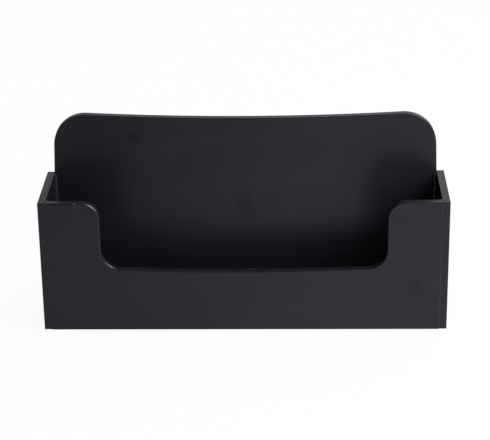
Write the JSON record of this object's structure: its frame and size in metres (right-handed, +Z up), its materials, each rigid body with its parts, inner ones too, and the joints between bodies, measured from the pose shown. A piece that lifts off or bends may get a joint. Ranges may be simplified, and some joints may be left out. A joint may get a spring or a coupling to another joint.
{
  "type": "napkin dispenser",
  "caption": "Open-topped counter napkin dispenser of cemented black acrylic sheet: low front with a wide swept opening, low sides, taller bowed back with round corners, rubber feet.",
  "frame": {"origin": "under the middle of the whole object, on the plane that the feet stand on", "axes": "+X to the right of someone facing the front opening, +Y to the back, +Z up"},
  "size_m": [0.24, 0.0526, 0.1218],
  "materials": {
    "satin_acrylic": "satin black cast acrylic sheet",
    "bumper_rubber": "matt black moulded rubber"
  },
  "bodies": {
    "root": {"left_side": "satin_acrylic", "right_side": "satin_acrylic", "front_panel": "satin_acrylic", "back_panel": "satin_acrylic", "base_panel": "satin_acrylic", "foot_front_left": "bumper_rubber", "foot_front_right": "bumper_rubber", "foot_rear_left": "bumper_rubber", "foot_rear_right": "bumper_rubber"}
  },
  "joints": []
}
